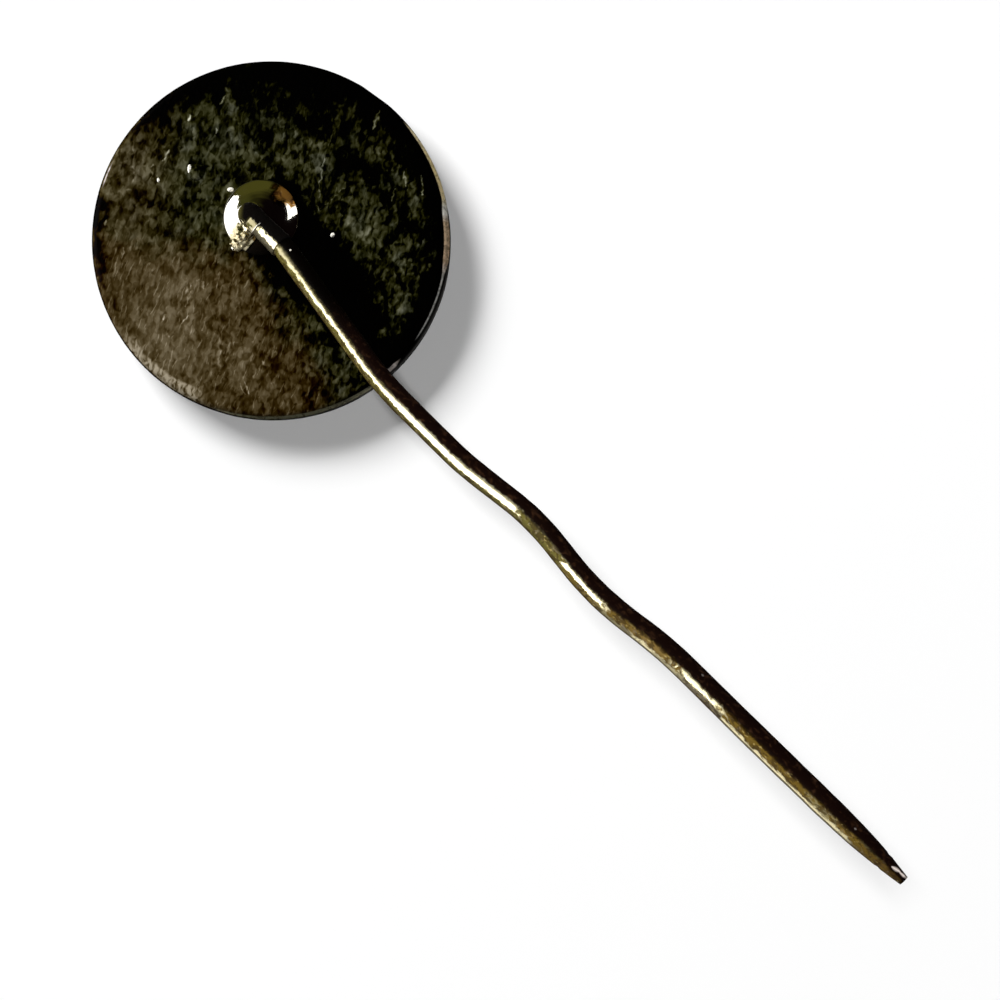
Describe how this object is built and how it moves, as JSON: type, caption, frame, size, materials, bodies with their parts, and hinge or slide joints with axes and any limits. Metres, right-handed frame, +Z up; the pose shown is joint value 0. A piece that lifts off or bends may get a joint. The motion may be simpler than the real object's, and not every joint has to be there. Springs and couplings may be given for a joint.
{
  "type": "lapel pin",
  "caption": "Round dark metal badge disc with a bent wire needle soldered to its back on a small domed foot.",
  "frame": {"origin": "centre of the disc's plain front face, on which the pin lies", "axes": "+Z up through the disc's back, where the needle is; -Y along the needle towards its tip; +X to the right seen from above with the tip towards the viewer"},
  "size_m": [0.018, 0.0514, 0.0108],
  "materials": {
    "disc_metal": "dark patina with streaks, glossy, worn bright at the rim",
    "needle_metal": "polished yellow metal, tarnished in patches, solder at the foot"
  },
  "bodies": {
    "root": {"badge_disc": "disc_metal", "needle": "needle_metal"}
  },
  "joints": []
}
